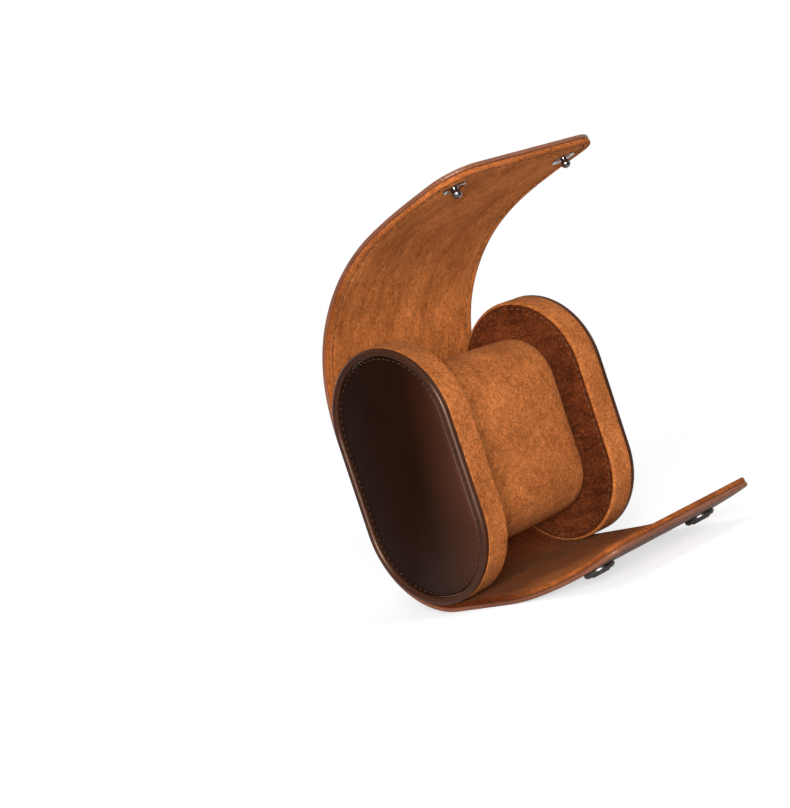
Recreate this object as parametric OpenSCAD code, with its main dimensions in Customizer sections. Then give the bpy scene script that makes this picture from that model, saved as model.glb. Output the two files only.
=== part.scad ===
// Watch travel case: two oval end discs wrapped by one wide strip of leather
// and suede. The strip's upper end is the flap, its lower end is the lip, and
// both close round the discs onto a pair of ball snaps. A cushion between the
// discs carries the watch.
//
// X runs along the case from disc to disc, the opening faces -Y and Z is up.
// The part is drawn in its photographed pose, flap and lip open, standing on
// its underside at Z = 0.

/* [End discs] */
// Half of the disc's width, and the radius of its round ends
disc_r = 27.3; // [24:0.1:30]
// Half of the disc's straight side, between the round ends
disc_straight = 16.2; // [10:0.1:22]
// Distance between the inner faces of the two discs
disc_space = 55.4; // [48:0.2:64]
// Thickness of a disc at its piped rim
disc_t = 11.6; // [8:0.1:14]
// Thickness of the suede on a disc
disc_suede_t = 1; // [0.8:0.1:1.4]
// Thickness of the board behind a disc's leather face
disc_board_t = 1.2; // [0.8:0.1:2]
// Diameter of the piping round the leather face
piping_d = 2.6; // [1.8:0.1:3]
// Rise of the padded leather face at its middle
face_crown = 2.2; // [1:0.1:3]

/* [Strip] */
// Width of the strip along the case
strip_w = 72; // [64:0.5:80]
// Thickness of the leather
leather_t = 1.6; // [1.4:0.1:2.2]
// Thickness of the suede lining
lining_t = 1.6; // [1.4:0.1:2.2]
// Thickness of the boards between leather and lining
board_t = 0.8; // [0.5:0.1:1]
// Distance from the strip's edges to the boards
board_inset = 5; // [4:0.5:6]
// Clearance between the discs and the strip
wrap_gap = 0.3; // [0.2:0.05:1]
// Clearance between two lengths of strip at a fold line
fold_gap = 0.1; // [0.05:0.01:0.2]

/* [Flap] */
// Length of each folding length of the flap
flap_link = 13.5; // [12:0.1:15]
// Length of the flap's front panel
flap_panel = 29; // [25:0.5:36]
// Radius of the flap's free corners
flap_corner_r = 11.5; // [6:0.5:13]

/* [Lip] */
// Length of each folding length of the lip
lip_link = 11.5; // [10:0.1:12.5]
// Length of the lip's front panel
lip_panel = 39.5; // [34:0.5:42]
// Radius of the lip's free corners
lip_corner_r = 3; // [1:0.5:6]

/* [Snaps] */
// Distance from the strip's side edges to the snaps
snap_edge = 9.5; // [9:0.5:16]
// Distance from the flap's free edge to the snaps
snap_inset = 11.5; // [10:0.5:14]
// Diameter of a snap's ball
ball_d = 3.2; // [2.6:0.1:3.6]
// Diameter of the stud's plate
stud_plate_d = 8; // [7:0.1:9]
// Diameter of the socket
socket_d = 10.4; // [9:0.1:11]
// Height of the socket above the leather
socket_h = 1.5; // [1.2:0.1:1.8]

/* [Cushion] */
// Half of the cushion's thickness at its middle
cushion_r = 17.2; // [14:0.1:19]
// Half of the cushion's straight side
cushion_straight = 15; // [10:0.1:18]
// How much the cushion's ends are drawn in
cushion_crown = 0.9; // [0.4:0.1:2]
// Clearance between the cushion and the discs
cushion_gap = 0.3; // [0.2:0.05:0.6]
// Thickness of the cushion's suede
cushion_suede_t = 1; // [0.8:0.1:1.5]

/* [Hidden] */
$fn = 96;
LINKS = 7;

// Leather, suede and metal colours
LEATHER = [0.23, 0.13, 0.09];
STRIP_LEATHER = [0.36, 0.21, 0.15];
SUEDE = [0.60, 0.33, 0.14];
DARK_SUEDE = [0.30, 0.15, 0.07];
BOARD = [0.62, 0.56, 0.47];
FOAM = [0.85, 0.83, 0.76];
METAL = [0.36, 0.34, 0.34];

strip_t = lining_t + leather_t;
// Distance between the two snaps along the case
snap_spacing = strip_w - 2 * snap_edge;
// Radius of the strip's inner face where it goes round a disc's end
wrap_r = disc_r + wrap_gap;
// Height of the discs' middle over the underside
centre_z = disc_straight + wrap_r + strip_t;

// Bends of the strip as it lies open, in degrees over each length, and the
// further turn that closes it at the fold line before that length
flap_bends = [10, 15, 15, 12, 12, 9, 4, 3];
flap_turns = [6.5, 16, 14, 14, 12.5, 10.5, 11.5, 16];
lip_bends = [0, 0, 8, 13];
lip_turns = [8, 24.5, 20, 22];
flap_lengths = [for (i = [0:7]) i < 7 ? flap_link : flap_panel];
lip_lengths = [for (i = [0:3]) i < 3 ? lip_link : lip_panel];

// A place on the strip's inner face is [y, z, heading]. side is 1 where the
// strip curls to the left of its heading, as the flap does, and -1 for the lip.
function step(place, length, bend, side) =
    let (turn = side * bend, h = place[2])
    bend == 0
        ? [place[0] + length * cos(h), place[1] + length * sin(h), h]
        : let (r = length * 180 / PI / turn)
          [place[0] + r * (sin(h + turn) - sin(h)), place[1] + r * (cos(h) - cos(h + turn)), h + turn];
function turned(place, angle) = [place[0], place[1], place[2] + angle];
// The place at the start of length i, with each fold closed by turns
function place_at(start, lengths, bends, turns, side, i) =
    i == 0
        ? turned(start, side * turns[0])
        : turned(step(place_at(start, lengths, bends, turns, side, i - 1),
                      lengths[i - 1], bends[i - 1], side), side * turns[i]);
NO_TURNS = [0, 0, 0, 0, 0, 0, 0, 0];
flap_start = [wrap_r, disc_straight, 90];
lip_start = [0, -disc_straight - wrap_r, 180];
function flap_place(i) = place_at(flap_start, flap_lengths, flap_bends, NO_TURNS, 1, i);
function lip_place(i) = place_at(lip_start, lip_lengths, lip_bends, NO_TURNS, -1, i);

// Where the closed flap brings a snap's ball, on the face of its lining
closed_flap = place_at(flap_start, flap_lengths, flap_bends, flap_turns, 1, 7);
stud_u = flap_panel - snap_inset;
stud_bend = flap_bends[7] * stud_u / flap_panel;
closed_stud = step(closed_flap, stud_u, stud_bend, 1);
// The lip's panel closes as an arc; its socket lies where that arc meets the ball
closed_lip = place_at(lip_start, lip_lengths, lip_bends, lip_turns, -1, 3);
lip_panel_r = lip_panel * 180 / PI / lip_bends[3];
lip_arc_y = closed_lip[0] + lip_panel_r * sin(closed_lip[2]);
lip_arc_z = closed_lip[1] - lip_panel_r * cos(closed_lip[2]);
socket_heading = atan2(lip_arc_y - closed_stud[0], closed_stud[1] - lip_arc_z);
socket_bend = closed_lip[2] - socket_heading;
socket_u = lip_panel * socket_bend / lip_bends[3];

// The origin is under the middle of the open case, front to back
lip_tip = step(lip_place(3), lip_panel, lip_bends[3], -1);
front_y = lip_tip[0] - strip_t * sin(lip_tip[2]);
origin_y = (front_y + wrap_r + strip_t) / 2;

// ---- strip ----

// Turns a shape revolved about Z to lie about X, its start towards Y
module about_x() {
    rotate(120, [1, 1, 1])
        children();
}

// A length of strip along Z, its inner face at Y = 0 and its outside towards
// Y, curling away from its outside by bend degrees. It fills depths from to to.
module strip(length, bend, from, to, width, trim) {
    if (bend == 0)
        translate([-width / 2, from, trim])
            cube([width, to - from, length - 2 * trim]);
    else {
        r = length * 180 / PI / bend;
        trim_angle = bend * trim / length;
        translate([0, -r, 0])
            rotate([trim_angle, 0, 0])
                about_x()
                    rotate_extrude(angle = bend - 2 * trim_angle, $fn = 360)
                        translate([r + from, -width / 2])
                            square([to - from, width]);
    }
}

// Moves a shape to a place on the flap or the lip
module at_place(place, side) {
    translate([0, place[0], place[1]])
        rotate([place[2] - 90, 0, 0])
            mirror([0, side < 0 ? 1 : 0, 0])
                children();
}

// Moves a shape along a bent length of strip, to distance u
module along(length, bend, u) {
    end = step([0, 0, 90], u, bend * u / length, 1);
    translate([0, end[0], end[1]])
        rotate([end[2] - 90, 0, 0])
            children();
}

// How far a corner's arc is set out, so that it crosses the side and isn't tangent to it
corner_out = 0.02;

// Cuts that round the two free corners, at the end of a strip
module corner_cuts(r) {
    for (side = [-1, 1])
        scale([side, 1, 1])
            translate([strip_w / 2 - r + corner_out, -1, -r])
                difference() {
                    cube([r + 1, strip_t + 2, r + 1]);
                    translate([0, -1, 0])
                        rotate([-90, 0, 0])
                            cylinder(r = r, h = strip_t + 4);
                }
}

// A hole for a snap, through the depths from to to at both snap places
module snap_cuts(d, from, to) {
    for (x = [-0.5, 0.5])
        translate([x * snap_spacing, from, 0])
            rotate([-90, 0, 0])
                cylinder(d = d, h = to - from);
}

board_from = lining_t - board_t / 2;
board_to = lining_t + board_t / 2;
leather_from = lining_t;
// Depths of the snaps' hidden backs, from the strip's inner face
stud_back_t = 0.6;
washer_t = 0.6;
stud_sink = 0.4;
socket_sink = 0.4;
post_d = 2.6;
eyelet_d = 5;
washer_d = 8;
snap_clear = 0.05;

module leather_length(places, lengths, bends, side, i, tint) {
    color(tint)
        at_place(places, side)
            strip(lengths[i], bends[i], leather_from, strip_t, strip_w, fold_gap / 2);
}

module lining_length(places, lengths, bends, side, i) {
    color(SUEDE)
        at_place(places, side)
            strip(lengths[i], bends[i], 0, lining_t, strip_w, fold_gap / 2);
}

module flap_leather(i) {
    leather_length(flap_place(i), flap_lengths, flap_bends, 1, i, STRIP_LEATHER);
}

module flap_lining(i) {
    lining_length(flap_place(i), flap_lengths, flap_bends, 1, i);
}

module lip_leather(i) {
    leather_length(lip_place(i), lip_lengths, lip_bends, -1, i, STRIP_LEATHER);
}

module lip_lining(i) {
    lining_length(lip_place(i), lip_lengths, lip_bends, -1, i);
}

// The board in a front panel, and the pocket that it lies in
module panel_board(length, bend) {
    strip(length, bend, board_from, board_to, strip_w - 2 * board_inset, board_inset);
}

module flap_leather_panel() {
    color(STRIP_LEATHER)
        at_place(flap_place(7), 1)
            difference() {
                strip(flap_panel, flap_bends[7], leather_from, strip_t, strip_w, fold_gap / 2);
                panel_board(flap_panel, flap_bends[7]);
                along(flap_panel, flap_bends[7], flap_panel)
                    corner_cuts(flap_corner_r);
                along(flap_panel, flap_bends[7], stud_u)
                    snap_cuts(stud_plate_d + 2 * snap_clear, board_to - 0.01, board_to + stud_back_t + snap_clear);
            }
}

module flap_lining_panel() {
    color(SUEDE)
        at_place(flap_place(7), 1)
            difference() {
                strip(flap_panel, flap_bends[7], 0, lining_t, strip_w, fold_gap / 2);
                panel_board(flap_panel, flap_bends[7]);
                along(flap_panel, flap_bends[7], flap_panel)
                    corner_cuts(flap_corner_r);
                along(flap_panel, flap_bends[7], stud_u) {
                    snap_cuts(stud_plate_d + 2 * snap_clear, -1, stud_sink);
                    snap_cuts(post_d + 2 * snap_clear, 0, lining_t);
                }
            }
}

module flap_board() {
    color(BOARD)
        at_place(flap_place(7), 1)
            difference() {
                panel_board(flap_panel, flap_bends[7]);
                along(flap_panel, flap_bends[7], stud_u)
                    snap_cuts(post_d + 2 * snap_clear, 0, strip_t);
            }
}

module lip_leather_panel() {
    color(STRIP_LEATHER)
        at_place(lip_place(3), -1)
            difference() {
                strip(lip_panel, lip_bends[3], leather_from, strip_t, strip_w, fold_gap / 2);
                panel_board(lip_panel, lip_bends[3]);
                along(lip_panel, lip_bends[3], lip_panel)
                    corner_cuts(lip_corner_r);
                along(lip_panel, lip_bends[3], socket_u) {
                    snap_cuts(eyelet_d + 2 * snap_clear, 0, strip_t + 1);
                    snap_cuts(socket_d + 2 * snap_clear, strip_t - socket_sink, strip_t + 1);
                }
            }
}

module lip_lining_panel() {
    color(SUEDE)
        at_place(lip_place(3), -1)
            difference() {
                strip(lip_panel, lip_bends[3], 0, lining_t, strip_w, fold_gap / 2);
                panel_board(lip_panel, lip_bends[3]);
                along(lip_panel, lip_bends[3], lip_panel)
                    corner_cuts(lip_corner_r);
                along(lip_panel, lip_bends[3], socket_u)
                    snap_cuts(washer_d + 2 * snap_clear, board_from - washer_t - snap_clear, lining_t);
            }
}

module lip_board() {
    color(BOARD)
        at_place(lip_place(3), -1)
            difference() {
                panel_board(lip_panel, lip_bends[3]);
                along(lip_panel, lip_bends[3], socket_u)
                    snap_cuts(eyelet_d + 2 * snap_clear, 0, strip_t);
            }
}

// The fixed back: straight behind the discs, then round under them
module back_strip(from, to) {
    translate([0, wrap_r, -disc_straight])
        strip(2 * disc_straight, 0, from, to, strip_w, 0);
    translate([0, 0, -disc_straight])
        rotate([-90, 0, 0])
            about_x()
                rotate_extrude(angle = 90, $fn = 360)
                    translate([wrap_r + from, -strip_w / 2])
                        square([to - from, strip_w]);
}

module back_board() {
    color(BOARD)
        translate([0, wrap_r, -disc_straight])
            strip(2 * disc_straight, 0, board_from, board_to, strip_w - 2 * board_inset, board_inset / 2);
}

module back_leather() {
    color(STRIP_LEATHER)
        difference() {
            back_strip(leather_from, strip_t);
            back_board();
        }
}

module back_lining() {
    color(SUEDE)
        difference() {
            back_strip(0, lining_t);
            back_board();
        }
}

// ---- snaps ----

// Moves a shape to both snaps, with the strip's outside along its Z
module at_snaps(length, bend, u) {
    along(length, bend, u)
        for (x = [-0.5, 0.5])
            translate([x * snap_spacing, 0, 0])
                rotate([-90, 0, 0])
                    children();
}

ball_up = 1.9;
neck_d = 2;
hub_h = 0.4;
hub_d = 6;
bore_d = ball_d + 0.5;
spring_wire = 0.5;
spring_r = bore_d / 2 + spring_wire / 2 + 0.05;

module snap_studs() {
    color(METAL)
        at_place(flap_place(7), 1)
            at_snaps(flap_panel, flap_bends[7], stud_u) {
                cylinder(d = stud_plate_d, h = stud_sink);
                cylinder(d = post_d, h = board_to);
                translate([0, 0, -ball_up])
                    cylinder(d = neck_d, h = ball_up);
                translate([0, 0, -ball_up])
                    sphere(d = ball_d);
            }
}

module stud_backs() {
    color(METAL)
        at_place(flap_place(7), 1)
            at_snaps(flap_panel, flap_bends[7], stud_u)
                translate([0, 0, board_to])
                    cylinder(d = stud_plate_d, h = stud_back_t);
}

spring_groove_z = strip_t + socket_h / 2;

module snap_sockets() {
    color(METAL)
        at_place(lip_place(3), -1)
            at_snaps(lip_panel, lip_bends[3], socket_u)
                difference() {
                    union() {
                        translate([0, 0, strip_t - socket_sink])
                            cylinder(d = socket_d, h = socket_sink + socket_h * 0.6);
                        translate([0, 0, strip_t - socket_sink])
                            cylinder(d = socket_d - 1.2, h = socket_sink + socket_h);
                        translate([0, 0, strip_t])
                            cylinder(d = hub_d, h = socket_h + hub_h);
                        translate([0, 0, board_from])
                            cylinder(d = eyelet_d, h = strip_t - board_from);
                    }
                    translate([0, 0, board_from - 1])
                        cylinder(d = bore_d, h = strip_t + socket_h + 2);
                    translate([0, 0, spring_groove_z - spring_wire * 0.6])
                        cylinder(r = spring_r + spring_wire * 0.6, h = spring_wire * 1.2);
                }
}

module socket_washers() {
    color(METAL)
        at_place(lip_place(3), -1)
            at_snaps(lip_panel, lip_bends[3], socket_u)
                translate([0, 0, board_from - washer_t])
                    difference() {
                        cylinder(d = washer_d, h = washer_t);
                        translate([0, 0, -1])
                            cylinder(d = bore_d, h = washer_t + 2);
                    }
}

module snap_springs() {
    color(METAL)
        at_place(lip_place(3), -1)
            at_snaps(lip_panel, lip_bends[3], socket_u)
                translate([0, 0, spring_groove_z])
                    rotate_extrude()
                        translate([spring_r, 0])
                            circle(d = spring_wire, $fn = 24);
}

// ---- discs and cushion ----

// Turns a profile (radius, height) into an oval: revolved at both round ends
// and drawn straight between them. The height runs along X.
module oval(straight) {
    about_x() {
        translate([0, straight, 0])
            rotate_extrude(angle = 180)
                children();
        translate([0, -straight, 0])
            rotate([0, 0, 180])
                rotate_extrude(angle = 180)
                    children();
        rotate([90, 0, 0])
            translate([0, 0, -straight])
                linear_extrude(2 * straight) {
                    children();
                    mirror([1, 0])
                        children();
                }
    }
}

// Puts a disc's piece on the left, side -1, or on the right, side 1
module disc_side(side) {
    scale([side, 1, 1])
        translate([disc_space / 2, 0, 0])
            children();
}

band_t = disc_suede_t;
core_r = disc_r - band_t;
rim_z = disc_t - piping_d / 2;
board_z = rim_z - piping_d / 2 + 0.3;
pad_r = disc_r - piping_d - 0.1;
crown_r = (pad_r * pad_r + face_crown * face_crown) / 2 / face_crown;

module side_band(side) {
    color(SUEDE)
        disc_side(side)
            oval(disc_straight)
                difference() {
                    translate([core_r, 0])
                        square([band_t, board_z]);
                    difference() {
                        translate([core_r, -1])
                            square([band_t + 1, band_t * 0.8 + 1]);
                        translate([disc_r - band_t * 0.8, band_t * 0.8])
                            circle(r = band_t * 0.8);
                        translate([core_r - 1, -1])
                            square([band_t * 0.2 + 1, band_t + 1]);
                    }
                }
}

module inner_face(side) {
    color(DARK_SUEDE)
        disc_side(side)
            oval(disc_straight)
                square([core_r, disc_suede_t]);
}

module disc_foam(side) {
    color(FOAM)
        disc_side(side)
            oval(disc_straight)
                translate([0, disc_suede_t])
                    square([core_r, board_z - disc_board_t - disc_suede_t]);
}

module face_board(side) {
    color(BOARD)
        disc_side(side)
            oval(disc_straight)
                translate([0, board_z - disc_board_t])
                    square([core_r, disc_board_t]);
}

module piping(side) {
    color(LEATHER)
        disc_side(side)
            oval(disc_straight) {
                intersection() {
                    translate([disc_r - piping_d / 2, rim_z])
                        circle(d = piping_d);
                    translate([0, board_z])
                        square([disc_r, piping_d]);
                }
                translate([disc_r - piping_d, board_z])
                    square([piping_d, rim_z - board_z]);
            }
}

// The padded leather face: a shallow dome with a sunk line for its stitches
stitch_inset = 1;
stitch_groove_r = 0.4;
stitch_r = pad_r - stitch_inset;
stitch_z = rim_z + face_crown - crown_r + sqrt(crown_r * crown_r - stitch_r * stitch_r);
module face_leather(side) {
    color(LEATHER)
        disc_side(side)
            oval(disc_straight)
                difference() {
                    intersection() {
                        translate([0, board_z])
                            square([pad_r, disc_t + face_crown]);
                        translate([0, rim_z + face_crown - crown_r])
                            circle(r = crown_r, $fn = 720);
                    }
                    translate([stitch_r, stitch_z])
                        circle(r = stitch_groove_r, $fn = 24);
                }
}

cushion_half = disc_space / 2 - cushion_gap;
cushion_bow_r = (cushion_half * cushion_half + cushion_crown * cushion_crown) / 2 / cushion_crown;
cushion_edge_r = 2.5;

// The cushion's profile, drawn in by inset on every side
module cushion_profile(inset) {
    intersection() {
        translate([cushion_r - cushion_bow_r, 0])
            circle(r = cushion_bow_r - inset, $fn = 1440);
        translate([0, -cushion_half + inset])
            square([cushion_r, 2 * (cushion_half - inset)]);
    }
}

module cushion_cover() {
    color(SUEDE)
        oval(cushion_straight)
            difference() {
                cushion_profile(0);
                translate([-1, -cushion_half - 1])
                    square([cushion_r - cushion_crown - cushion_suede_t * 1.5 + 1, 2 * cushion_half + 2]);
                cushion_profile(cushion_suede_t);
            }
}

module cushion_ends() {
    color(SUEDE)
        for (side = [-1, 1])
            scale([side, 1, 1])
                translate([cushion_half - cushion_suede_t, 0, 0])
                    oval(cushion_straight)
                        square([cushion_r - cushion_crown - cushion_suede_t * 1.5, cushion_suede_t]);
}

module cushion_foam() {
    color(FOAM)
        oval(cushion_straight)
            cushion_profile(cushion_suede_t);
}

// ---- pieces ----

// Lifts the whole case onto its underside, with the origin below its middle
module set_down() {
    translate([0, -origin_y, centre_z])
        children();
}

set_down() {
    back_leather();
    back_board();
    back_lining();
    for (i = [0:LINKS - 1]) {
        flap_leather(i);
        flap_lining(i);
    }
    flap_leather_panel();
    flap_lining_panel();
    flap_board();
    for (i = [0:2]) {
        lip_leather(i);
        lip_lining(i);
    }
    lip_leather_panel();
    lip_lining_panel();
    lip_board();
    face_leather(-1);  // left_face_leather
    piping(-1);  // left_piping
    face_board(-1);  // left_face_board
    disc_foam(-1);  // left_disc_foam
    side_band(-1);  // left_side_band
    inner_face(-1);  // left_inner_face
    face_leather(1);  // right_face_leather
    piping(1);  // right_piping
    face_board(1);  // right_face_board
    disc_foam(1);  // right_disc_foam
    side_band(1);  // right_side_band
    inner_face(1);  // right_inner_face
    cushion_cover();
    cushion_ends();
    cushion_foam();
    snap_studs();
    stud_backs();
    snap_sockets();
    socket_washers();
    snap_springs();
}
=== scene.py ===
"""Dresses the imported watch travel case: strip of leather and suede, discs, cushion, snaps, stitches."""
import math

import bmesh
import bpy
import numpy as np
from mathutils import Matrix, Vector, noise


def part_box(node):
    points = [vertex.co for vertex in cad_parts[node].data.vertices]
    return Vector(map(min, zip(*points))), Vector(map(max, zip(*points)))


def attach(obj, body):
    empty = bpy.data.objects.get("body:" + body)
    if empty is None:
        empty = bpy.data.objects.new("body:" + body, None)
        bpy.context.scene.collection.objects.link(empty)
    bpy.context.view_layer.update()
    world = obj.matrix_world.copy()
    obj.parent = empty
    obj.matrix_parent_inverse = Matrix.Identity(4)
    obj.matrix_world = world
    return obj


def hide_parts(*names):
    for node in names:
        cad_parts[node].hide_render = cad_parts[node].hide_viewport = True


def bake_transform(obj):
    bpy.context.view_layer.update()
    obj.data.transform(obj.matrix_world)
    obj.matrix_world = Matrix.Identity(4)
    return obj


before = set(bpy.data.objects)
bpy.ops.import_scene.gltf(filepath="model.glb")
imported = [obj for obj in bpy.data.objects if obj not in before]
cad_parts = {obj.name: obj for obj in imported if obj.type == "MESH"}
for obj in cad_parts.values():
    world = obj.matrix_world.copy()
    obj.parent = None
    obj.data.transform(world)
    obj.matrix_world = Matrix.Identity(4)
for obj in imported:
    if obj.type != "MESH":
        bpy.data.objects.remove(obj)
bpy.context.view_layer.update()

MM = 0.001


def add_object(name, data):
    """An object in the scene for a mesh, a light or the camera."""
    obj = bpy.data.objects.new(name, data)
    bpy.context.scene.collection.objects.link(obj)
    return obj


# ---- camera: first, so that everything is made to be seen from it ----

bpy.context.scene.view_settings.view_transform = "Standard"
IMAGE_W, IMAGE_H = 790, 808
FOCAL_PX = 1820.0
SENSOR = 36.0
CLIP_NEAR, CLIP_FAR = 0.01, 20
CAMERA_AT = (-0.4313, -0.4142, 0.1003)
CAMERA_RIGHT = Vector((0.6902, -0.6516, -0.3146)).normalized()
CAMERA_AHEAD = Vector((0.6735, 0.7375, -0.0498)).normalized()


def make_camera():
    """The photograph's camera. The photograph is turned in its own plane, so the camera is rolled."""
    data = bpy.data.cameras.new("camera")
    data.sensor_width = SENSOR
    data.lens = FOCAL_PX * SENSOR / max(IMAGE_W, IMAGE_H)
    data.clip_start, data.clip_end = CLIP_NEAR, CLIP_FAR
    back = -CAMERA_AHEAD
    up = back.cross(CAMERA_RIGHT).normalized()
    right = up.cross(back)
    camera = add_object("camera", data)
    rows = [(right[i], up[i], back[i], CAMERA_AT[i]) for i in range(3)]
    camera.matrix_world = Matrix(rows + [(0, 0, 0, 1)])
    return camera


bpy.context.scene.camera = make_camera()

# ---- sizes in millimetres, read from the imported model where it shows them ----


def span(node, axis):
    """A node's lowest and highest place along an axis at rest, in millimetres."""
    return [round(corner[axis] / MM, 4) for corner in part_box(node)]


# the end discs: heights run from a disc's inner face outwards
BAND_X, BAND_Y, BAND_Z = (span("right_side_band", axis) for axis in range(3))
ORIGIN_Y, CENTRE_Z = sum(BAND_Y) / 2, sum(BAND_Z) / 2
DISC_R = (BAND_Y[1] - BAND_Y[0]) / 2
DISC_STRAIGHT = (BAND_Z[1] - BAND_Z[0]) / 2 - DISC_R
DISC_HALF_SPACE = BAND_X[0]
BAND_H = BAND_X[1] - DISC_HALF_SPACE
FACE_TOP = span("right_face_leather", 0)[1] - DISC_HALF_SPACE
RIM_TOP, PIPING_R = 11.6, 1.3

# the strip: its face towards the discs has depth 0
STRIP_W = 2 * span("back_leather", 0)[1]
STRIP_T = span("lip_lining_1", 2)[1]
LINING_T = STRIP_T - span("lip_leather_1", 2)[1]
WRAP_R = span("back_lining", 1)[1] - ORIGIN_Y - LINING_T
FLAP_LINK, FLAP_PANEL, FLAP_CORNER = 13.5, 29.0, 11.5
LIP_LINK, LIP_PANEL, LIP_CORNER = 11.5, 39.5, 3.0
FLAP_BENDS = (10, 15, 15, 12, 12, 9, 4, 3)
LIP_BENDS = (0, 0, 8, 13)


def chain(link, panel, bends):
    """Lengths with their bends in degrees: links of one length, and the panel last."""
    return [(link, bend) for bend in bends[:-1]] + [(panel, bends[-1])]


FLAP_LINKS = chain(FLAP_LINK, FLAP_PANEL, FLAP_BENDS)
LIP_LINKS = chain(LIP_LINK, LIP_PANEL, LIP_BENDS)
ARC = math.pi / 2 * WRAP_R
FLAP_START = ARC + 2 * DISC_STRAIGHT
FLAP_END = FLAP_START + sum(length for length, _ in FLAP_LINKS)
LIP_END = -sum(length for length, _ in LIP_LINKS)

# the snaps: distances from the strip's ends and sides
STUD_INSET, SOCKET_INSET, SNAP_EDGE = 11.5, 17.689, 9.5
STUD_S, SOCKET_S = FLAP_END - STUD_INSET, LIP_END + SOCKET_INSET
SNAP_X = STRIP_W / 2 - SNAP_EDGE

# the cushion
CUSHION_HALF = span("cushion_cover", 0)[1]
CUSHION_R = (span("cushion_cover", 1)[1] - span("cushion_cover", 1)[0]) / 2
CUSHION_STRAIGHT = 15.0


# ---- the strip's path: s runs from the lip's tip (negative) to the flap's tip ----

AHEAD = [(ARC, 90), (2 * DISC_STRAIGHT, 0)] + FLAP_LINKS
START = (0.0, -DISC_STRAIGHT - WRAP_R, 0.0)


def step(place, length, turn):
    """The place (y, z, heading) after a length that turns to the left by turn degrees."""
    y, z, h = place
    if turn == 0:
        return y + length * math.cos(h), z + length * math.sin(h), h
    r, h2 = length / math.radians(turn), h + math.radians(turn)
    return y + r * (math.sin(h2) - math.sin(h)), z + r * (math.cos(h) - math.cos(h2)), h2


def place_at(s):
    """The strip's inner face at s: y, z and heading."""
    place, links, sign = START, (AHEAD if s >= 0 else LIP_LINKS), (1 if s >= 0 else -1)
    left = abs(s)
    for length, turn in links:
        part = min(left, length)
        place = step(place, sign * part, sign * turn * part / length)
        left -= part
        if left <= 0:
            break
    return place


def section_point(x, y, z):
    """A point of the section's frame, whose origin is the discs' middle, in metres in the model's frame."""
    return Vector((x, y + ORIGIN_Y, z + CENTRE_Z)) * MM


def strip_point(x, s, depth):
    """A point of the strip, in metres. Depth grows from the suede's face towards the leather."""
    y, z, h = place_at(s)
    return section_point(x, y + depth * math.sin(h), z - depth * math.cos(h))


# ---- making meshes ----

def make_piece(name, verts, faces, lay=None, rim=None, sharp=38, weld=0):
    """A smooth-shaded object from points in metres.

    lay is each point's place for the textures, and rim is 1 at a cut edge. Edges above sharp degrees
    stay sharp, and points within weld millimetres become one.
    """
    mesh = bpy.data.meshes.new(name)
    mesh.from_pydata([tuple(v) for v in verts], [], faces)
    lay_values = mesh.attributes.new("lay", "FLOAT_VECTOR", "POINT")
    flat = np.array([tuple(v) for v in (lay if lay is not None else verts)], np.float32)
    lay_values.data.foreach_set("vector", flat.ravel())
    rim_values = mesh.attributes.new("rim", "FLOAT", "POINT")
    if rim is not None:
        rim_values.data.foreach_set("value", np.array(rim, np.float32))
    work = bmesh.new()
    work.from_mesh(mesh)
    if weld:
        bmesh.ops.remove_doubles(work, verts=work.verts, dist=weld * MM)
        bmesh.ops.dissolve_degenerate(work, edges=work.edges, dist=1e-7)
    bmesh.ops.recalc_face_normals(work, faces=work.faces)
    work.to_mesh(mesh)
    work.free()
    mesh.polygons.foreach_set("use_smooth", [True] * len(mesh.polygons))
    mesh.set_sharp_from_angle(angle=math.radians(sharp))
    return add_object(name, mesh)


def grid_faces(rows, cols, start=0, close_rows=False, close_cols=False):
    """Quads between the points of a grid stored row by row."""
    faces = []
    for i in range(rows if close_rows else rows - 1):
        for j in range(cols if close_cols else cols - 1):
            a, b = start + i * cols, start + (i + 1) % rows * cols
            k = (j + 1) % cols
            faces.append((a + j, a + k, b + k, b + j))
    return faces


def grid_outline(rows, cols):
    """The numbers of a grid's outer points, once round."""
    out = list(range(cols)) + [i * cols + cols - 1 for i in range(1, rows)]
    out += [(rows - 1) * cols + j for j in range(cols - 2, -1, -1)]
    return out + [i * cols for i in range(rows - 2, 0, -1)]


def spread(start, stop, gap):
    """Values from start to stop at about the given gap, both ends included."""
    n = max(2, round(abs(stop - start) / gap) + 1)
    return [start + (stop - start) * k / (n - 1) for k in range(n)]


def arc_points(cr, ch, radius, a0, a1, n):
    """Points of a profile on an arc, angles in degrees from the radial direction."""
    out = []
    for k in range(n):
        a = math.radians(a0 + (a1 - a0) * k / (n - 1))
        out.append((cr + radius * math.cos(a), ch + radius * math.sin(a)))
    return out


def hollow(distance, width):
    """A dent's share of its depth at a distance from its middle."""
    return math.exp(-(distance / width) ** 2)


# ---- the strip's section ----

STITCH_INSET = 2.6
# distances from a stitched edge at which the surface gets points
EDGE_STEPS = [0, 0.04, 0.16, 0.34, 0.55, 0.9, 1.4, 1.85, 2.15, 2.4, 2.6, 2.8, 3.05, 3.35, 3.8, 4.6,
              6, 8, 10.5]
ACROSS_GAP, ALONG_GAP, PANEL_GAP = 2.4, 1.1, 1.3
NO_END = 1e6
RIM_FULL, RIM_FADE = 0.3, 0.5
# the leather: what its edges are rounded to, the dent of its stitches and how uneven it is
LEATHER_ROUND, BOND_ROUND, BOND_GAP = 0.62, 0.38, 0.06
LEATHER_DENT, LEATHER_DENT_W, LEATHER_WAVE = 0.26, 0.34, 0.05
# the same for the suede, which lies flat within SUEDE_HELD of its edge
SUEDE_ROUND, SUEDE_DENT, SUEDE_DENT_W = 0.55, 0.24, 0.42
SUEDE_WAVE, SUEDE_RIPPLE, SUEDE_HELD = 0.10, 0.04, 3
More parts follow.
